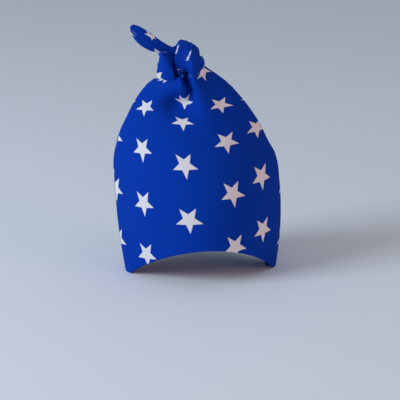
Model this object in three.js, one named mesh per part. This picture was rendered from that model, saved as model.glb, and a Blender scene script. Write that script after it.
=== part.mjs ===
import * as THREE from "three";

// Egg cosy of two cotton panels, sewn along both sides and tied in one overhand knot at the top.
// Millimetres, +Z up. The side seams lie left and right along X, the front faces -Y,
// and the origin is on the table, at the middle of the cosy's width and depth.

// Driving dimensions
const seamGap = 0.3; // between the two panels, all along the seams and inside the knot
const clothWall = 1.4; // panel thickness
const hemWall = 1.8; // the hem is folded once, so it is a little thicker
const hemHeight = 6;
const hemStep = 1; // the fold's upper edge thins to one layer over this height
const seamEdge = 1.25; // half the thickness of the seam, with its turned-in allowance
const hollowInset = 1.2; // the hollow stops this far inside each seam
const thinnest = 0.8; // cloth left at the seams and in the tightest bends
const edgeShare = 0.6; // the bunched strip's edges are at most this share of its half thickness
const hemRise = 13.8; // the hem's middle stands this far above its corners
const hemFlat = 4; // each corner rests flat on the table this far in front of and behind its seam
const hemCurve = 0.9;
const archTop = 56; // the arch has faded out at this height
const bodyRound = 0.9; // section fullness: 0.5 is an ellipse, 1 is a sharp lens
const stripRound = 0.55;
const foldSwing = 5; // how late on its way up a fold swings over to the knot
const foldGrown = 0.6; // a fold has its full depth this far up its length
const foldEnd = 1.3; // and has died away this far past its top
const cottonColour = "#0b2f9c";

// Mesh fineness
const acrossSteps = 22;
const bodySteps = 3;
const stripSteps = 2;
const edgeCrowding = 1.6; // above 1, the points across crowd towards the seams

// One row for each level of the hollow part, from the hem to the gathered crown
const levels = [
  // each seam's place and height, then how far the front and back bulge from the seams
  { left: -26.6, leftZ: 0.0, right: 28.8, rightZ: 0.0, front: 24.0, back: 24.0 },
  { left: -27.9, leftZ: 8.6, right: 29.9, rightZ: 8.6, front: 24.0, back: 24.0 },
  { left: -29.0, leftZ: 17.3, right: 30.4, rightZ: 17.3, front: 24.0, back: 24.0 },
  { left: -29.7, leftZ: 25.9, right: 30.3, rightZ: 25.9, front: 23.8, back: 23.8 },
  { left: -30.2, leftZ: 34.6, right: 29.7, rightZ: 33.6, front: 22.8, back: 22.8 },
  { left: -30.4, leftZ: 41.8, right: 28.9, rightZ: 39.9, front: 20.8, back: 20.8 },
  { left: -30.0, leftZ: 44.7, right: 28.1, rightZ: 42.8, front: 19.5, back: 19.6 },
  { left: -28.3, leftZ: 51.3, right: 25.4, rightZ: 47.8, front: 16.4, back: 16.7 },
  { left: -25.3, leftZ: 57.8, right: 22.4, rightZ: 54.0, front: 12.4, back: 12.9 },
  { left: -22.7, leftZ: 62.8, right: 19.0, rightZ: 59.3, front: 9.6, back: 10.2 },
  { left: -19.5, leftZ: 67.4, right: 15.3, rightZ: 64.1, front: 8.2, back: 8.4 },
  { left: -16.5, leftZ: 70.3, right: 10.9, rightZ: 68.9, front: 7.6, back: 7.4 },
  { left: -13.8, leftZ: 71.6, right: 6.6, rightZ: 72.3, front: 7.3, back: 6.6 },
  { left: -9.6, leftZ: 72.0, right: 3.7, rightZ: 74.3, front: 7.2, back: 5.4 },
];

// A bend of the bunched strip: its middle, the way its printed front faces, half its width, its front
// and back half thickness, and how far its left and right edges hook backwards
const bend = (x, y, z, face, half, front, back, hookLeft, hookRight) => {
  return { x, y, z, face, half, front, back, hookLeft, hookRight };
};

// From the crown through the knot to the loose end
const bends = [
  bend(-2.1, -3.7, 75.2, [0, -1, 0.1], 5.0, 3.6, 1.5, 1.8, 3.4),
  bend(-2.6, -4.7, 77.9, [0.1, -1, 0.1], 4.6, 2.8, 1.6, 1.0, 2.6),
  bend(-3.1, -4.0, 80.6, [0.3, -0.85, 0.5], 4.3, 2.3, 1.6, 0.3, 1.2),
  bend(-3.4, -1.5, 82.4, [0.5, -0.3, 1], 4.0, 2.1, 1.6, 0, 0.4),
  bend(-3.9, 2.1, 81.9, [0.4, 0.45, 0.9], 4.1, 2.0, 1.6, 0, 0),
  bend(-4.9, 4.5, 79.7, [0.1, 0.95, 0.35], 4.0, 1.9, 1.6, 0, 0),
  bend(-7.7, 4.6, 77.6, [-0.1, 1, 0], 3.6, 1.9, 1.6, 0, 0),
  bend(-10.8, 3.4, 76.2, [-0.65, 0.75, 0], 2.7, 1.9, 1.5, 0, 0),
  bend(-12.3, 0.2, 75.9, [-1, 0, 0.1], 2.7, 1.9, 1.6, 0, 0),
  bend(-12.1, -2.7, 76.8, [-0.75, -0.65, 0.2], 4.0, 2.2, 1.6, 0, 0),
  bend(-10.3, -4.7, 77.4, [0.05, -1, 0.3], 4.9, 2.3, 1.5, 0, 0),
  bend(-9.3, -2.4, 77.6, [0.7, -0.7, 0.15], 2.5, 1.3, 1.2, 0, 0),
  bend(-7.1, 0.2, 77.2, [0.6, -0.8, 0], 1.2, 1.2, 1.2, 0, 0),
  bend(-4.4, 0.6, 78.4, [0, -1, 0], 1.2, 1.3, 1.3, 0, 0),
  bend(-6.2, 0.6, 79.9, [0, -1, 0], 1.2, 1.2, 1.2, 0, 0),
  bend(-9.4, 0.7, 80.8, [0, -1, 0], 1.4, 1.2, 1.2, 0, 0),
  bend(-13.2, 0.4, 82.2, [0, -1, 0.1], 2.1, 1.3, 1.2, 0, 0),
  bend(-17.2, -0.3, 84.4, [0.1, -1, 0.1], 2.7, 1.3, 1.2, 0, 0),
  bend(-20.2, -0.4, 86.8, [0.1, -1, 0.1], 2.6, 1.25, 1.2, 0, 0),
  bend(-22.2, -0.2, 88.7, [0, -1, 0], 1.9, 1.25, 1.2, 0, 0),
  bend(-23.5, 0.2, 90.2, [0, -1, 0], 0.8, 1.25, 1.2, 0, 0),
];

// Main folds that run down from the knot. Rows of levels count from 0 at the hem, and the strip's
// rows carry on from the last of them. acrossTop and acrossLow run from -1 at the left seam to 1.
const folds = [
  { face: 1, topRow: 14.6, lowRow: 8.6, acrossTop: -0.8, acrossLow: -0.1, wide: 2.4, deep: -4.6 },
  { face: 1, topRow: 12.2, lowRow: 8.4, acrossTop: -0.52, acrossLow: -0.4, wide: 4.2, deep: -1.8 },
  { face: 1, topRow: 14.0, lowRow: 6.8, acrossTop: 0.18, acrossLow: 0.16, wide: 3.4, deep: 1.5 },
  { face: 1, topRow: 13.4, lowRow: 7.4, acrossTop: 0.62, acrossLow: 0.55, wide: 3.0, deep: -1.2 },
  { face: 1, topRow: 14.2, lowRow: 10.2, acrossTop: -0.98, acrossLow: -0.34, wide: 2.2, deep: 1.2 },
  { face: -1, topRow: 14.0, lowRow: 8.0, acrossTop: -0.5, acrossLow: -0.4, wide: 2.6, deep: -1.8 },
  { face: -1, topRow: 14.2, lowRow: 7.0, acrossTop: 0.1, acrossLow: 0.05, wide: 2.4, deep: -2.2 },
  { face: -1, topRow: 13.8, lowRow: 8.4, acrossTop: 0.62, acrossLow: 0.5, wide: 2.8, deep: -1.5 },
  { face: -1, topRow: 13.8, lowRow: 7.4, acrossTop: -0.2, acrossLow: -0.18, wide: 3.4, deep: 1.0 },
];

const vector = (x, y, z) => new THREE.Vector3(x, y, z);

// A ring holds its middle, half its width as a vector, the way its front faces, and its depths
function levelRing(row) {
  const left = vector(row.left, 0, row.leftZ);
  const right = vector(row.right, 0, row.rightZ);
  return {
    middle: left.clone().add(right).multiplyScalar(0.5),
    across: right.clone().sub(left).multiplyScalar(0.5),
    facing: vector(0, -1, 0),
    front: row.front,
    back: row.back,
    wall: clothWall,
    round: bodyRound,
    hookLeft: 0,
    hookRight: 0,
  };
}

function bendRing(row, index) {
  const before = bends[Math.max(index - 1, 0)];
  const after = bends[Math.min(index + 1, bends.length - 1)];
  const along = vector(after.x - before.x, after.y - before.y, after.z - before.z).normalize();
  const facing = vector(...row.face);
  facing.addScaledVector(along, -facing.dot(along)).normalize();
  return {
    middle: vector(row.x, row.y, row.z),
    across: along.cross(facing).multiplyScalar(row.half),
    facing,
    front: row.front,
    back: row.back,
    wall: Math.max(row.front, row.back),
    round: stripRound,
    hookLeft: row.hookLeft,
    hookRight: row.hookRight,
  };
}

const rings = [...levels.map(levelRing), ...bends.map(bendRing)];

// Catmull-Rom blend of four neighbours
function blend(a, b, c, d, t) {
  const rise = (c - a) * t;
  const bend = (2 * a - 5 * b + 4 * c - d) * t * t;
  const ease = (3 * b - a - 3 * c + d) * t * t * t;
  return b + 0.5 * (rise + bend + ease);
}

function ringAt(place) {
  const start = Math.min(Math.floor(place), rings.length - 2);
  const t = place - start;
  const four = [-1, 0, 1, 2].map((step) => {
    return rings[THREE.MathUtils.clamp(start + step, 0, rings.length - 1)];
  });
  const number = (key) => blend(...four.map((ring) => ring[key]), t);
  const point = (key) => {
    const parts = ["x", "y", "z"].map((axis) => blend(...four.map((ring) => ring[key][axis]), t));
    return vector(...parts);
  };
  return {
    middle: point("middle"),
    across: point("across"),
    facing: point("facing").normalize(),
    front: number("front"),
    back: number("back"),
    wall: number("wall"),
    round: number("round"),
    hookLeft: number("hookLeft"),
    hookRight: number("hookRight"),
  };
}

// How full the section is at a share of its half width: 1 at the middle, 0 at the seams
function fullness(share, round) {
  return Math.pow(Math.max(0, 1 - share * share), round);
}

function foldRelief(side, place, share, halfWidth) {
  let relief = 0;
  for (const fold of folds) {
    const climb = (place - fold.lowRow) / (fold.topRow - fold.lowRow);
    if (fold.face !== side || climb <= 0 || climb >= foldEnd) continue;
    const swing = Math.pow(Math.min(climb, 1), foldSwing);
    const centre = THREE.MathUtils.lerp(fold.acrossLow, fold.acrossTop, swing);
    const distance = ((share - centre) * halfWidth) / fold.wide;
    const grown = THREE.MathUtils.smoothstep(climb, 0, foldGrown);
    const fade = grown * (1 - THREE.MathUtils.smoothstep(climb, 1, foldEnd));
    relief += fold.deep * fade * Math.exp(-distance * distance);
  }
  return relief * (1 - share * share);
}

// The hem stays on the table beside each seam and arches up between them
function archLift(depth, height) {
  const reach = Math.max(0, (depth - hemFlat) / (levels[0].front - hemFlat));
  const left = Math.max(0, 1 - height / archTop);
  return hemRise * Math.pow(reach, hemCurve) * left * left;
}

// The outer and inner point of a panel at one place along it and one share across it
function panelPoints(side, place, share) {
  const ring = ringAt(place);
  const halfWidth = ring.across.length();
  const depth = side > 0 ? ring.front : ring.back;
  const relief = foldRelief(side, place, share, halfWidth);
  const height = ring.middle.z;
  const hemShare = 1 - THREE.MathUtils.smoothstep(height, hemHeight - hemStep, hemHeight);
  const wall = ring.wall + (hemWall - clothWall) * hemShare;
  const edge = Math.min(seamEdge, depth * edgeShare);
  const outerDepth = edge + (depth - edge) * fullness(share, ring.round) + relief;
  const hollowHalf = Math.max(halfWidth - hollowInset, halfWidth / 2);
  const innerShare = Math.min(1, (Math.abs(share) * halfWidth) / hollowHalf);
  const hollow = (depth - wall) * fullness(innerShare, ring.round) + relief;
  const innerDepth = Math.max(Math.min(hollow, outerDepth - thinnest), seamGap / 2);
  const hooked = (share > 0 ? ring.hookRight : ring.hookLeft) * share * share;
  const base = ring.middle.clone().addScaledVector(ring.across, share);
  base.addScaledVector(ring.facing, -hooked);
  const offset = (distance) => base.clone().addScaledVector(ring.facing, side * distance);
  const outer = offset(Math.max(outerDepth, seamGap / 2 + thinnest));
  const inner = offset(innerDepth);
  const onBody = place <= levels.length - 1;
  const lift = onBody ? archLift(outerDepth, height) : 0;
  outer.z += lift;
  inner.z += lift;
  return [outer, inner];
}

// A closed sheet: its outer and inner faces, joined all round their rim
function panelGeometry(side) {
  const rows = [];
  const bodyEnd = levels.length - 1;
  for (let place = 0; place < bodyEnd; place += 1 / bodySteps) rows.push(place);
  const stripCount = bends.length * stripSteps;
  for (let step = 0; step <= stripCount; step += 1) rows.push(bodyEnd + step / stripSteps);
  const shares = [];
  for (let step = 0; step <= acrossSteps; step += 1) {
    const even = (2 * step) / acrossSteps - 1;
    shares.push(Math.sign(even) * (1 - Math.pow(1 - Math.abs(even), edgeCrowding)));
  }
  const positions = [];
  for (const layer of [0, 1]) {
    for (const place of rows) {
      for (const share of shares) positions.push(...panelPoints(side, place, share)[layer].toArray());
    }
  }
  const wide = shares.length;
  const layerSize = rows.length * wide;
  const at = (layer, row, column) => layer * layerSize + row * wide + column;
  const faces = [];
  const quad = (a, b, c, d) => faces.push(...(side > 0 ? [a, b, c, a, c, d] : [a, c, b, a, d, c]));
  const top = rows.length - 1;
  const end = wide - 1;
  for (let row = 0; row < top; row += 1) {
    for (let column = 0; column < end; column += 1) {
      quad(at(0, row, column), at(0, row, column + 1), at(0, row + 1, column + 1), at(0, row + 1, column));
      quad(at(1, row, column), at(1, row + 1, column), at(1, row + 1, column + 1), at(1, row, column + 1));
    }
    quad(at(1, row, 0), at(0, row, 0), at(0, row + 1, 0), at(1, row + 1, 0));
    quad(at(0, row, end), at(1, row, end), at(1, row + 1, end), at(0, row + 1, end));
  }
  for (let column = 0; column < end; column += 1) {
    quad(at(1, 0, column), at(1, 0, column + 1), at(0, 0, column + 1), at(0, 0, column));
    quad(at(0, top, column), at(0, top, column + 1), at(1, top, column + 1), at(1, top, column));
  }
  const geometry = new THREE.BufferGeometry();
  geometry.setAttribute("position", new THREE.Float32BufferAttribute(positions, 3));
  geometry.setIndex(faces);
  geometry.computeVertexNormals();
  return geometry;
}

const cotton = () => new THREE.MeshStandardMaterial({ color: cottonColour, roughness: 0.9, metalness: 0 });

const cosy = new THREE.Group();
for (const [name, side] of [["front_panel", 1], ["back_panel", -1]]) {
  const panel = new THREE.Mesh(panelGeometry(side), cotton());
  panel.name = name;
  cosy.add(panel);
}

export default cosy;
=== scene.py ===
import math

import bmesh
import bpy
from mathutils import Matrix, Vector, noise


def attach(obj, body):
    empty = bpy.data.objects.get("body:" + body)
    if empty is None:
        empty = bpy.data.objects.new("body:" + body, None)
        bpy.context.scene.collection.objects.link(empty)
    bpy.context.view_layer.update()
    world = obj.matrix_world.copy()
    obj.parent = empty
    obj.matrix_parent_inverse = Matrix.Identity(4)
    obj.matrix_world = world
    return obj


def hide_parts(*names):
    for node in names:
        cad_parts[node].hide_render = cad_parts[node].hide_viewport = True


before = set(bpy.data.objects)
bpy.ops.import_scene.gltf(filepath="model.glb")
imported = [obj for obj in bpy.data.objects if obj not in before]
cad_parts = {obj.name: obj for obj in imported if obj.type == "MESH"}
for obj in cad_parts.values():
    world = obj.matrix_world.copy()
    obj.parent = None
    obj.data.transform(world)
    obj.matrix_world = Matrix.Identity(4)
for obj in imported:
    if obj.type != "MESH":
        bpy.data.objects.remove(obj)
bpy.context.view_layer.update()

# Egg cosy of two cotton panels, sewn at both sides and tied in one knot at the top.
# Shapes are worked out in millimetres, in the frame of the solids, and made metres at the end.
mm = 0.001
print("frame loaded")

# Camera at the photograph's angle, made first
cameraView = {
    "azimuth": -7,
    "elevation": 16,
    "distance": 600,
    "lookAt": (0.8, 0, 25.75),
    "lens": 148.5,
    "sensor": 36,
}


def placeCamera(view):
    azimuth = math.radians(view["azimuth"])
    elevation = math.radians(view["elevation"])
    flat = math.cos(elevation)
    back = Vector((math.sin(azimuth) * flat, -math.cos(azimuth) * flat, math.sin(elevation)))
    data = bpy.data.cameras.new("camera")
    data.lens = view["lens"]
    data.sensor_width = view["sensor"]
    camera = bpy.data.objects.new("camera", data)
    camera.location = (Vector(view["lookAt"]) + back * view["distance"]) * mm
    camera.rotation_euler = (-back).to_track_quat("-Z", "Y").to_euler()
    bpy.context.scene.collection.objects.link(camera)
    bpy.context.scene.camera = camera


placeCamera(cameraView)
print("camera placed")


def linearColour(hexText):
    # sRGB hex to the linear colour that shaders take, by the standard curve
    shares = [byte / 255 for byte in bytes.fromhex(hexText[1:])]
    return tuple(s / 12.92 if s <= 0.04045 else ((s + 0.055) / 1.055) ** 2.4 for s in shares) + (1,)


def smoothstep(low, high, value):
    share = min(max((value - low) / (high - low), 0), 1)
    return share * share * (3 - 2 * share)


def mix(a, b, share):
    return a + (b - a) * share


# Both panels share these sizes, in mm
cosy = {
    "cloth": 0.45,  # cotton thickness as drawn, a little over the real 0.3
    "acrossSteps": 104,
    "rowStep": 0.62,  # distance between mesh rows along the cloth
    "edgeCrowding": 1.6,
    "seamEdge": 1.25,  # half thickness of the cloth beside the seam
    "seamEdgeMost": 0.6,  # and the most that it may be, as a share of the depth
    "seamDip": 0.3,  # the seam line lies this far in from the outline
    "seamDipMost": 0.2,  # and at most this share of the half width
    "seamShut": 0.04,  # what is left open between the panels at the seam line
    "allowance": 4.5,  # turned in behind the seam
    "allowanceMost": 0.12,  # and at most this share of the half width
    "bodyRound": 0.9,  # powers of the rounding across, lower is flatter
    "stripRound": 0.55,
    "hemRise": 13.8,  # the hem's middle above its corners
    "hemFlat": 4.0,  # the hem is level up to this depth beside the seams
    "hemCurve": 0.9,
    "archTop": 56,  # the arch has faded out at this height
    "hemTurn": 7.0,  # turned up inside
    "hemGap": 2,  # cloth thicknesses from the outer layer to the turned one
    "hemBends": (150, 120, 90, 60, 30),  # degrees round the hem's edge
    "hemClear": 0.02,  # between the hem and the surface that it rests on
    "foldSwing": 4,  # how late a fold swings across on its way up
    "foldGrown": 0.6,  # share of its height where it has its full depth
    "foldEnd": 1.3,  # and where it has gone again
}

# Rows from the hem to the gathered crown: left seam x and z, right seam x and z, front and back bulge
levels = [
    (-26.6, 0.0, 28.8, 0.0, 24.0, 24.0),
    (-27.9, 8.6, 29.9, 8.6, 24.0, 24.0),
    (-29.0, 17.3, 30.4, 17.3, 24.0, 24.0),
    (-29.7, 25.9, 30.3, 25.9, 23.8, 23.8),
    (-30.2, 34.6, 29.7, 33.6, 22.8, 22.8),
    (-30.4, 41.8, 28.9, 39.9, 20.8, 20.8),
    (-30.0, 44.7, 28.1, 42.8, 19.5, 19.6),
    (-28.3, 51.3, 25.4, 47.8, 16.4, 16.7),
    (-25.3, 57.8, 22.4, 54.0, 12.4, 12.9),
    (-22.7, 62.8, 19.0, 59.3, 9.6, 10.2),
    (-19.5, 67.4, 15.3, 64.1, 8.2, 8.4),
    (-16.5, 70.3, 10.9, 68.9, 7.6, 7.4),
    (-13.8, 71.6, 6.6, 72.3, 7.3, 6.6),
    (-10.6, 72.2, 3.7, 74.3, 7.2, 5.4),
]

# Bends of the bunched strip through the knot to the loose end: middle x, y, z, the way the printed
# front faces, half width, front and back half thickness, how far each edge hooks backwards
bends = [
    (-3.1, -3.7, 75.2, 0, -1, 0.1, 5.6, 3.6, 1.5, 2.2, 3.4),
    (-3.5, -4.7, 77.9, 0.1, -1, 0.1, 5.1, 2.8, 1.6, 3.2, 2.8),
    (-3.7, -4.0, 80.3, 0.3, -0.85, 0.5, 4.4, 2.3, 1.6, 1.6, 1.4),
    (-3.5, -1.5, 82.0, 0.5, -0.3, 1, 3.9, 2.1, 1.6, 0, 0.4),
    (-3.9, 2.0, 81.4, 0.4, 0.45, 0.9, 3.6, 2.0, 1.6, 0, 0),
    (-4.9, 4.3, 79.2, 0.1, 0.95, 0.35, 3.6, 1.9, 1.6, 0, 0),
    (-7.7, 4.6, 77.6, -0.1, 1, 0, 3.6, 1.9, 1.6, 0, 0),
    (-10.8, 3.4, 76.2, -0.65, 0.75, 0, 2.7, 1.9, 1.5, 0, 0),
    (-12.2, 0.2, 75.9, -1, 0, 0.1, 3.9, 1.9, 1.6, 0, 0),
    (-12.3, -2.8, 76.1, -0.75, -0.65, 0.15, 5.0, 2.2, 1.6, 0, 0.8),
    (-11.3, -4.5, 76.2, 0.05, -1, 0.42, 5.5, 2.3, 1.5, 0, 1.6),
    (-10.3, -2.3, 77.0, 0.7, -0.7, 0.2, 3.6, 1.3, 1.2, 0, 0.6),
    (-7.1, 0.2, 77.2, 0.6, -0.8, 0, 1.2, 1.2, 1.2, 0, 0),
    (-4.4, 0.6, 78.4, 0, -1, 0, 1.2, 1.3, 1.3, 0, 0),
    (-6.2, 0.6, 79.9, 0, -1, 0, 1.2, 1.2, 1.2, 0, 0),
    (-9.4, 0.7, 80.8, 0, -1, 0, 1.4, 1.2, 1.2, 0, 0),
    (-13.2, 0.4, 82.2, 0, -1, 0.1, 2.1, 1.3, 1.2, 0, 0),
    (-17.2, -0.3, 84.4, 0.1, -1, 0.1, 2.7, 1.3, 1.2, 0, 0),
    (-20.2, -0.4, 86.8, 0.1, -1, 0.1, 2.6, 1.25, 1.2, 0, 0),
    (-22.2, -0.2, 88.7, 0, -1, 0, 1.9, 1.25, 1.2, 0, 0),
    (-23.5, 0.2, 90.2, 0, -1, 0, 0.8, 1.25, 1.2, 0, 0),
]
crownRow = len(levels) - 1

# Folds run down from the knot: face (1 front, -1 back), top row, low row, share across at the top and
# low down (-1 left seam, 1 right seam), width, depth. Ridges are positive.
folds = [
    (1, 14.7, 8.6, -0.62, -0.08, 1.25, -7.0),
    (1, 14.0, 6.8, 0.18, 0.16, 3.4, 1.5),
    (1, 13.4, 7.4, 0.62, 0.55, 3.0, -1.2),
    (1, 14.2, 9.5, -0.88, -0.24, 1.5, 1.3),
    (-1, 14.0, 8.0, -0.5, -0.4, 2.6, -1.8),
    (-1, 14.2, 7.0, 0.1, 0.05, 2.4, -2.2),
    (-1, 13.8, 8.4, 0.62, 0.5, 2.8, -1.5),
    (-1, 13.8, 7.4, -0.2, -0.18, 3.4, 1.0),
]

# Soft swellings and dents of the body: face, row, share across, height in rows, width in mm, depth
dents = [
    (1, 11.0, -0.55, 0.8, 6.0, 1.5),
    (1, 9.2, -0.32, 0.7, 5.0, -5.0),
    (1, 8.4, 0.42, 1.6, 7.0, 0.5),
    (-1, 9.6, 0.3, 1.2, 7.0, -0.9),
]


def levelRing(row):
    leftX, leftZ, rightX, rightZ, front, back = row
    left = Vector((leftX, 0, leftZ))
    right = Vector((rightX, 0, rightZ))
    return {
        "middle": (left + right) / 2,
        "across": (right - left) / 2,
        "facing": Vector((0, -1, 0)),
        "front": front,
        "back": back,
        "hookLeft": 0,
        "hookRight": 0,
        "round": cosy["bodyRound"],
    }


def bendRing(index):
    x, y, z, faceX, faceY, faceZ, half, front, back, hookLeft, hookRight = bends[index]
    before = bends[max(index - 1, 0)]
    after = bends[min(index + 1, len(bends) - 1)]
    along = (Vector(after[:3]) - Vector(before[:3])).normalized()
    facing = Vector((faceX, faceY, faceZ))
    facing = (facing - along * facing.dot(along)).normalized()
    return {
        "middle": Vector((x, y, z)),
        "across": along.cross(facing) * half,
        "facing": facing,
        "front": front,
        "back": back,
        "hookLeft": hookLeft,
        "hookRight": hookRight,
        "round": cosy["stripRound"],
    }


rings = [levelRing(row) for row in levels] + [bendRing(index) for index in range(len(bends))]
runs = [0]
for near, far in zip(rings, rings[1:]):
    runs.append(runs[-1] + (far["middle"] - near["middle"]).length)


def slopeAt(key, index):
    # how fast a ring's value changes along the cloth, from its neighbours at their real distances
    low, high = max(index - 1, 0), min(index + 1, len(rings) - 1)
    if low == index or high == index:
        return (rings[high][key] - rings[low][key]) / (runs[high] - runs[low])
    before = runs[index] - runs[low]
    after = runs[high] - runs[index]
    rise = (rings[index][key] - rings[low][key]) / before * after
    fall = (rings[high][key] - rings[index][key]) / after * before
    return (rise + fall) / (before + after)


slopes = [{key: slopeAt(key, index) for key in ring} for index, ring in enumerate(rings)]


def ringAt(run):
    # the cloth's cross-section at a distance along it, and its place counted in rows
    index = 0
    while index < len(rings) - 2 and run >= runs[index + 1]:
        index += 1
    span = runs[index + 1] - runs[index]
    t = (run - runs[index]) / span
    start, end = rings[index], rings[index + 1]
    ring = {"place": index + t}
    for key in start:
        pull = slopes[index][key] * (span * (t ** 3 - 2 * t ** 2 + t))
        push = slopes[index + 1][key] * (span * (t ** 3 - t ** 2))
        ease = 3 * t ** 2 - 2 * t ** 3
        ring[key] = start[key] * (1 - ease) + end[key] * ease + pull + push
    ring["facing"].normalize()
    ring["halfWidth"] = ring["across"].length
    return ring


def foldRelief(side, ring, share):
    relief = 0
    for face, topRow, lowRow, acrossTop, acrossLow, wide, deep in folds:
        climb = (ring["place"] - lowRow) / (topRow - lowRow)
        if face != side or climb <= 0 or climb >= cosy["foldEnd"]:
            continue
        centre = mix(acrossLow, acrossTop, min(climb, 1) ** cosy["foldSwing"])
        away = (share - centre) * ring["halfWidth"] / wide
        fade = smoothstep(0, cosy["foldGrown"], climb) * (1 - smoothstep(1, cosy["foldEnd"], climb))
        relief += deep * fade * math.exp(-away * away)
    for face, row, across, tall, wide, deep in dents:
        if face == side:
            up = (ring["place"] - row) / tall
            away = (share - across) * ring["halfWidth"] / wide
            relief += deep * math.exp(-up * up - away * away)
    return relief * (1 - share * share)


# Fine unevenness that the solids leave out, in mm
softness = {
    "sag": 0.35,  # slow waves all over the body
    "sagSize": 17,
    "gatherDeep": 0.12,  # lengthwise gathers of the bunched strip
    "gatherCount": 4.2,
    "gatherStart": (-4, 1),  # rows from the crown where the gathers grow
    "gatherFade": 0.6,  # flatter again on the loose end
    "gatherEnd": (12, 16),
    "drift": 0.42,  # how far the gathers wander across
    "driftStep": 0.15,
    "faceApart": 40,  # so that the two faces differ
    "faceDrift": 3.1,
}


def fineRelief(side, ring, share):
    point = ring["middle"] + ring["across"] * share + Vector((0, softness["faceApart"] * side, 0))
    sag = noise.noise(point / softness["sagSize"]) * softness["sag"]
    fromCrown = ring["place"] - crownRow
    bunched = smoothstep(*softness["gatherStart"], fromCrown)
    bunched *= 1 - softness["gatherFade"] * smoothstep(*softness["gatherEnd"], fromCrown)
    wander = Vector((ring["place"] * softness["driftStep"], side * softness["faceDrift"], share))
    drift = noise.noise(wander) * softness["drift"]
    gather = math.sin(math.pi * softness["gatherCount"] * (share + drift) + side)
    relief = sag * (1 - bunched) + gather * softness["gatherDeep"] * bunched
    return relief * (1 - share * share) ** 2


def archLift(depth, height):
    fullDepth = rings[0]["front"]
    reach = max(0, (depth - cosy["hemFlat"]) / (fullDepth - cosy["hemFlat"]))
    return cosy["hemRise"] * reach ** cosy["hemCurve"] * max(0, 1 - height / cosy["archTop"]) ** 2


def clothMiddle(ring, share):
    # the level between the two panels
    hooked = ring["hookRight" if share > 0 else "hookLeft"] * share ** 2
    return ring["middle"] + ring["across"] * share - ring["facing"] * hooked


def depthAndEdge(side, ring):
    depth = ring["front" if side > 0 else "back"]
    return depth, min(cosy["seamEdge"], depth * cosy["seamEdgeMost"])


def outerPoint(side, ring, share):
    depth, edge = depthAndEdge(side, ring)
    full = max(0, 1 - share * share) ** ring["round"]
    reach = edge + (depth - edge) * full + foldRelief(side, ring, share) + fineRelief(side, ring, share)
    point = clothMiddle(ring, share) + ring["facing"] * side * max(reach, edge)
    if ring["place"] <= crownRow:
        point.z += archLift(reach, ring["middle"].z)
    return point


def seamPoint(side, ring, edgeSign, turn):
    # turn runs from 0 at the cloth's edge to 1 at the seam line and on to 2 at the allowance's raw edge
    edge = depthAndEdge(side, ring)[1]
    half = ring["halfWidth"]
    dip = min(cosy["seamDip"], half * cosy["seamDipMost"])
    behind = min(cosy["allowance"], half * cosy["allowanceMost"])
    if turn <= 1:
        angle = turn * math.pi / 2
        inset = dip * (1 - math.cos(angle))
        out = mix(edge, cosy["seamShut"], math.sin(angle))
    else:
        inset = mix(dip, dip + behind, turn - 1)
        out = cosy["seamShut"]
    reach = edgeSign * (1 - inset / half)
    return clothMiddle(ring, reach) + ring["facing"] * side * out


seamTurns = [0.25, 0.5, 0.75, 1, 1.5, 2]


def columnShares():
    shares = []
    for step in range(cosy["acrossSteps"] + 1):
        even = 2 * step / cosy["acrossSteps"] - 1
        shares.append(math.copysign(1 - (1 - abs(even)) ** cosy["edgeCrowding"], even))
    return shares


def panelRow(side, run):
    ring = ringAt(run)
    left = [seamPoint(side, ring, -1, turn) for turn in reversed(seamTurns)]
    right = [seamPoint(side, ring, 1, turn) for turn in seamTurns]
    return left + [outerPoint(side, ring, share) for share in columnShares()] + right


def inwardOf(row, index):
    # level direction into the hollow at a point of a row
    along = row[min(index + 1, len(row) - 1)] - row[max(index - 1, 0)]
    return Vector((-along.y, along.x, 0)).normalized()


def hemRows(side, outer, turnedRows):
    # the cloth goes under at the hem and up again inside it
    thick = cosy["cloth"]
    inside = thick * cosy["hemGap"]
    low = outer[0]
    rows = []
    for row in reversed(turnedRows):
        rows.append([p + inwardOf(row, i) * side * inside for i, p in enumerate(row)])
    for angle in cosy["hemBends"]:
        out = thick * (1 - math.cos(math.radians(angle)))
        drop = Vector((0, 0, thick * math.sin(math.radians(angle))))
        rows.append([p + inwardOf(low, i) * side * out - drop for i, p in enumerate(low)])
    return rows


def panelRows(side):
    length = runs[-1]
    count = round(length / cosy["rowStep"])
    first = cosy["cloth"] + cosy["hemClear"]
    outer = [panelRow(side, mix(first, length, step / count)) for step in range(count + 1)]
    turned = round(cosy["hemTurn"] / cosy["rowStep"])
    return hemRows(side, outer, outer[:turned]) + outer


gridDigits = 6  # enough to tell the fresh grid's rows and columns apart


def panelMesh(name, side, cutAt):
    rows = panelRows(side)
    wide = len(rows[0])
    bm = bmesh.new()
    bmesh.ops.create_grid(bm, x_segments=wide - 1, y_segments=len(rows) - 1, size=1)
    order = sorted(bm.verts, key=lambda v: (round(v.co.y, gridDigits), round(v.co.x, gridDigits)))
    for number, vert in enumerate(order):
        vert.co = rows[number // wide][number % wide] * mm
        vert.index = number
    layer = bm.loops.layers.uv.new("clothMillimetres")
    places = clothPlaces(rows, cutAt, frontTucks if side > 0 else [])
    for face in bm.faces:
        for loop in face.loops:
            number = loop.vert.index
            loop[layer].uv = places[number // wide][number % wide]
    if side < 0:
        bmesh.ops.reverse_faces(bm, faces=bm.faces)
    for face in bm.faces:
        face.smooth = True
    mesh = bpy.data.meshes.new(name)
    bm.to_mesh(mesh)
    bm.free()
    panel = bpy.data.objects.new(name, mesh)
    bpy.context.scene.collection.objects.link(panel)
    wall = panel.modifiers.new("clothThickness", "SOLIDIFY")
    wall.thickness = cosy["cloth"] * mm
    wall.offset = -1
    wall.material_offset = 1
    return panel


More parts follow.
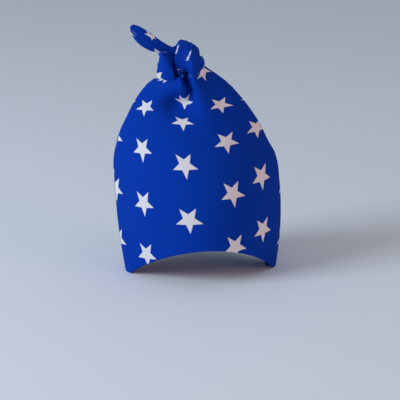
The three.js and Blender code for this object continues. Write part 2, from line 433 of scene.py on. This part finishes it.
# The print is laid out on the flat cloth, so each point needs its place there. The map's whole side is
# clothSide, and its middle is the panel's middle at the shoulder.
clothSide = 200  # mm
mapMiddle = 0.5
shoulderHeight = 44.7  # the cloth is measured up and down from this height
crownHeight = 70

# Gathers near the knot take up cloth, so the print runs closer together there
gathers = {
    "upRate": 0.014,  # taken up lengthwise, for each mm above the shoulder
    "upFull": 34,
    "fanLow": -12,
    "fanLeftBelow": 0.003,  # taken up across on the left, below and above fanLow
    "fanLeftAbove": 0.007,
    "fanRight": 0.0012,  # and on the right, with the square of the height above fanRightLow
    "fanRightLow": 30,
    "fanFull": 50,
}

# Small tucks hide some of the cloth along its length: where across, how wide, where they grow, how much
frontTucks = [
    {"across": -3, "wide": 6, "low": 15, "high": 22, "hides": 7},
    {"across": -14, "wide": 7, "low": 21, "high": 27, "hides": -3.5},
]
tucksLevel = (34, 40)  # they run level across the strip above this stretch
skew = {"from": 12, "rate": 0.12}  # the left half is a little fuller than the right

# The bunched strip takes up more: distance from the shoulder, extra along, times across, shift across
# Where times is small, the strip shows the plain blue between two columns of stars.
stripPrint = [
    (27, 0, 1, 0),
    (31, 0, 1, 0.6),
    (34.5, 0, 0.7, 3),
    (37, 0, 0.2, 1.85),
    (42.2, 7.2, 0.2, 1.85),
    (42.9, 7.7, 1.9, -3.1),
    (45.2, 15.9, 2.6, -3.4),
    (45.9, 17, 0.2, 1.85),
    (65, 30.8, 0.2, 1.85),
    (67.5, 30.8, 1, 3.7),
    (77.5, 30.8, 1, 3.7),
    (80, 30.8, 0.2, 1.85),
    (87, 31, 0.2, 1.85),
    (92, 34, 3, 1.3),
    (97.4, 33.5, 3, 1.3),
    (103.5, 34.2, 3, 1.3),
    (106, 37.9, 3, 1.3),
]


def stripAt(v):
    if v <= stripPrint[0][0]:
        return stripPrint[0][1:]
    for low, high in zip(stripPrint, stripPrint[1:]):
        if v <= high[0]:
            share = (v - low[0]) / (high[0] - low[0])
            return [mix(a, b, share) for a, b in zip(low[1:], high[1:])]
    return stripPrint[-1][1:]


def gathered(u, v, tucks):
    # place on the flat cloth of a point u across and v along the gathered surface
    rise = min(max(v, 0), gathers["upFull"])
    flatV = v + gathers["upRate"] * rise * rise
    onBody = 1 - smoothstep(*tucksLevel, v)
    for tuck in tucks:
        beside = (u * onBody - tuck["across"]) / tuck["wide"]
        grown = smoothstep(tuck["low"], tuck["high"], v)
        flatV += tuck["hides"] * math.exp(-beside * beside) * grown
    height = min(flatV, gathers["fanFull"])
    if u < 0:
        up = height - gathers["fanLow"]
        fan = 1 + gathers["fanLeftAbove" if up > 0 else "fanLeftBelow"] * up
    else:
        fan = 1 + gathers["fanRight"] * max(height - gathers["fanRightLow"], 0) ** 2
    extra, times, shift = stripAt(v)
    flatU = u * fan * times + shift
    return flatU - skew["rate"] * max(abs(flatU) - skew["from"], 0), flatV + extra


def nearestRow(rows, column, height):
    # the body's row at a height: the strip passes the same height again in the upper half
    body = rows[:len(rows) // 2]
    return min(range(len(body)), key=lambda r: abs(body[r][column].z - height))


def clothPlaces(rows, cutAt, tucks):
    # how far each point lies from the middle column and the shoulder over the cloth, then on the map
    wide = len(rows[0])
    centre = wide // 2
    shoulder = nearestRow(rows, 0, shoulderHeight)
    crown = nearestRow(rows, centre, crownHeight)
    acrossRuns = []
    for row in rows:
        run = [0]
        for a, b in zip(row, row[1:]):
            run.append(run[-1] + (b - a).length)
        acrossRuns.append([value - run[centre] for value in run])
    alongRuns = [[0] * wide for _ in rows]
    for r in range(shoulder + 1, len(rows)):
        for c in range(wide):
            near = centre if r > crown else c
            alongRuns[r][c] = alongRuns[r - 1][c] + (rows[r][near] - rows[r - 1][near]).length
    for r in range(shoulder - 1, -1, -1):
        for c in range(wide):
            alongRuns[r][c] = alongRuns[r + 1][c] - (rows[r][c] - rows[r + 1][c]).length
    places = []
    for across, along in zip(acrossRuns, alongRuns):
        flat = [gathered(u, v, tucks) for u, v in zip(across, along)]
        places.append([[(value + start) / clothSide + mapMiddle for value, start in zip(point, cutAt)]
                       for point in flat])
    return places


# Printed quilting cotton: plain-woven combed cotton, piece printed in royal blue with white stars
# left bare. Matt, with a faint grid of threads, bumped and with painted shade in the dips between them.
cottonLook = {
    "blue": "#003fb3",
    "paintedThreadShadeBlue": "#002c8c",  # painted shade in the dips between the threads
    "white": "#e0dedf",
    "reverse": "#3f62b4",  # the dye shows paler on the wrong side
    "starReach": 5.2,  # mm from a star's middle to its points
    "starNotch": 0.42,  # inner corners, as a share of that
    "starPoints": 5,
    "starTurn": 4,  # degrees
    "columnStep": 16.2,  # mm, as are the next two
    "firstColumn": -6.5,
    "starStep": 19.5,
    # each column's shift aside and up, repeated
    "columns": [(0, -0.5), (0.5, 8.7), (-2.5, -6.4), (-2.9, 6.5), (-2.7, 3.8)],
    "threadStep": 0.9,  # real threads are 0.3 mm apart, drawn three times as coarse to show at all
    "threadDepth": 0.05,
    "threadStrength": 0.4,
    "edgeSoftness": 0.12,  # mm, over which a star's edge fades
    "roughness": 0.88,
    "reverseRoughness": 0.92,
    "shine": 0.08,
}


def addNode(tree, kind, *values, **settings):
    # values fill the inputs in turn: a number or a tuple as it is, a node by its first output
    node = tree.nodes.new("ShaderNode" + kind)
    for name, value in settings.items():
        setattr(node, name, value)
    for socket, value in zip(node.inputs, values):
        if isinstance(value, bpy.types.Node):
            value = value.outputs[0]
        if isinstance(value, bpy.types.NodeSocket):
            tree.links.new(value, socket)
        else:
            socket.default_value = value
    return node


def starMask(tree, across, along, look):
    # 1 inside a five-pointed star with one point down, repeated in columns
    step = look["starStep"]
    sameColumn = 0.1  # column numbers are whole, so any part of one tells them apart
    fromFirst = addNode(tree, "Math", across, look["firstColumn"], operation="SUBTRACT")
    counted = addNode(tree, "Math", fromFirst, look["columnStep"], operation="DIVIDE")
    column = addNode(tree, "Math", counted, operation="ROUND")
    which = addNode(tree, "Math", column, len(look["columns"]), operation="FLOORED_MODULO")
    start = addNode(tree, "Math", column, look["columnStep"], operation="MULTIPLY")
    lift = 0
    for index, (columnAside, columnLift) in enumerate(look["columns"]):
        here = addNode(tree, "Math", which, index, sameColumn, operation="COMPARE")
        start = addNode(tree, "Math", here, columnAside, start, operation="MULTIPLY_ADD")
        lift = addNode(tree, "Math", here, columnLift, lift, operation="MULTIPLY_ADD")
    x = addNode(tree, "Math", fromFirst, start, operation="SUBTRACT")
    lifted = addNode(tree, "Math", along, lift, operation="SUBTRACT")
    y = addNode(tree, "Math", lifted, step / 2, -step / 2, operation="WRAP")
    fromStar = addNode(tree, "CombineXYZ", x, y)
    reach = addNode(tree, "VectorMath", fromStar, operation="LENGTH").outputs["Value"]
    down = addNode(tree, "Math", y, -1, operation="MULTIPLY")
    angle = addNode(tree, "Math", x, down, operation="ARCTAN2")
    turned = addNode(tree, "Math", angle, math.radians(look["starTurn"]), operation="SUBTRACT")
    halfPoint = math.pi / look["starPoints"]
    folded = addNode(tree, "Math", turned, halfPoint, operation="PINGPONG")
    cosine = addNode(tree, "Math", folded, operation="COSINE")
    sine = addNode(tree, "Math", folded, operation="SINE")
    # one straight edge runs from the tip to the notch, and every other is its mirror image
    tip = look["starReach"]
    notchX = tip * look["starNotch"] * math.cos(halfPoint)
    notchY = tip * look["starNotch"] * math.sin(halfPoint)
    length = math.hypot(notchX - tip, notchY)
    forward = addNode(tree, "Math", cosine, reach, operation="MULTIPLY")
    aside = addNode(tree, "Math", sine, reach, operation="MULTIPLY")
    short = addNode(tree, "Math", tip, forward, operation="SUBTRACT")
    within = addNode(tree, "Math", short, notchY / length, operation="MULTIPLY")
    inside = addNode(tree, "Math", aside, (notchX - tip) / length, within, operation="MULTIPLY_ADD")
    edge = addNode(tree, "Math", inside, look["edgeSoftness"], operation="DIVIDE")
    return addNode(tree, "Clamp", edge)


def mattMaterial(name, roughness, shine):
    material = bpy.data.materials.new(name)
    material.use_nodes = True
    shader = material.node_tree.nodes["Principled BSDF"]
    shader.inputs["Roughness"].default_value = roughness
    shader.inputs["Specular IOR Level"].default_value = shine
    return material, shader


# A mix node names its colour sockets like its others, so they are found by number
mixFirst, mixSecond, mixResult = 6, 7, 2


def printedCotton(look):
    material, shader = mattMaterial("printedQuiltingCotton", look["roughness"], look["shine"])
    tree = material.node_tree
    place = addNode(tree, "TexCoord").outputs["UV"]
    centred = addNode(tree, "VectorMath", place, (mapMiddle, mapMiddle, 0), operation="SUBTRACT")
    flat = addNode(tree, "VectorMath", centred, (clothSide, clothSide, 0), operation="MULTIPLY")
    parts = addNode(tree, "SeparateXYZ", flat)
    across, along = parts.outputs["X"], parts.outputs["Y"]
    waves = []
    for distance in (across, along):
        threads = addNode(tree, "Math", distance, 2 * math.pi / look["threadStep"], operation="MULTIPLY")
        waves.append(addNode(tree, "Math", threads, operation="SINE"))
    weave = addNode(tree, "Math", *waves, operation="MULTIPLY")
    half = 0.5  # brings the weave from between -1 and 1 to between 0 and 1
    raised = addNode(tree, "Math", weave, half, half, operation="MULTIPLY_ADD")
    # the blue is darkened in the weave's dips: painted shade between the threads
    blue = addNode(tree, "Mix", raised, data_type="RGBA")
    blue.inputs[mixFirst].default_value = linearColour(look["paintedThreadShadeBlue"])
    blue.inputs[mixSecond].default_value = linearColour(look["blue"])
    colour = addNode(tree, "Mix", starMask(tree, across, along, look), data_type="RGBA")
    tree.links.new(blue.outputs[mixResult], colour.inputs[mixFirst])
    colour.inputs[mixSecond].default_value = linearColour(look["white"])
    tree.links.new(colour.outputs[mixResult], shader.inputs["Base Color"])
    bump = addNode(tree, "Bump")
    bump.inputs["Strength"].default_value = look["threadStrength"]
    bump.inputs["Distance"].default_value = look["threadDepth"] * mm
    tree.links.new(raised.outputs[0], bump.inputs["Height"])
    tree.links.new(bump.outputs[0], shader.inputs["Normal"])
    return material


def cottonReverse(look):
    # wrong side of the same cotton, a paler blue because the print is on the other side
    material, shader = mattMaterial("reverseOfCotton", look["reverseRoughness"], look["shine"])
    shader.inputs["Base Color"].default_value = linearColour(look["reverse"])
    return material


cotton = printedCotton(cottonLook)
reverse = cottonReverse(cottonLook)
print("cotton made")

panels = {
    "frontPanel": {"side": 1, "node": "front_panel", "cutAt": (0, 0)},
    "backPanel": {"side": -1, "node": "back_panel", "cutAt": (40, 6)},
}
for name, cut in panels.items():
    panel = panelMesh(name, cut["side"], cut["cutAt"])  # cutAt is the place on the printed cloth, in mm
    panel.data.materials.append(cotton)
    panel.data.materials.append(reverse)
    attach(panel, "root")
    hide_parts(cut["node"])
    print(name, "sewn,", len(panel.data.polygons), "faces")

# Pale matt table top, far bigger than the view
floorLook = {"radius": 6000, "segments": 96, "colour": "#eff2f6", "roughness": 0.9, "shine": 0.1}


def layFloor(look):
    bm = bmesh.new()
    bmesh.ops.create_circle(bm, cap_ends=True, segments=look["segments"], radius=look["radius"] * mm)
    mesh = bpy.data.meshes.new("floor")
    bm.to_mesh(mesh)
    bm.free()
    floor = bpy.data.objects.new("floor", mesh)
    bpy.context.scene.collection.objects.link(floor)
    material, shader = mattMaterial("mattPaperFloor", look["roughness"], look["shine"])
    shader.inputs["Base Color"].default_value = linearColour(look["colour"])
    floor.data.materials.append(material)


layFloor(floorLook)

# Soft daylight from the left, a weak warm fill from the right
studio = {
    "sky": ("#cbd8e4", 0.5),
    "lamps": [
        # name, place, size, watts, colour
        ("windowLight", (-760, -290, 440), 420, 5.6, "#e6f0ff"),
        ("fillLight", (550, -430, 150), 300, 1.1, "#ff9c74"),
    ],
    "aim": (0, 0, 40),
}


def lightStudio(plan):
    world = bpy.data.worlds.new("studioWorld")
    world.use_nodes = True
    sky = world.node_tree.nodes["Background"]
    colour, strength = plan["sky"]
    sky.inputs["Color"].default_value = linearColour(colour)
    sky.inputs["Strength"].default_value = strength
    bpy.context.scene.world = world
    for name, place, size, watts, colour in plan["lamps"]:
        data = bpy.data.lights.new(name, "AREA")
        data.size = size * mm
        data.energy = watts
        data.color = linearColour(colour)[:3]
        lamp = bpy.data.objects.new(name, data)
        lamp.location = Vector(place) * mm
        away = Vector(plan["aim"]) - Vector(place)
        lamp.rotation_euler = away.to_track_quat("-Z", "Y").to_euler()
        lamp.visible_camera = False
        bpy.context.scene.collection.objects.link(lamp)
    bpy.context.scene.view_settings.view_transform = "Standard"


lightStudio(studio)
print("studio lit")
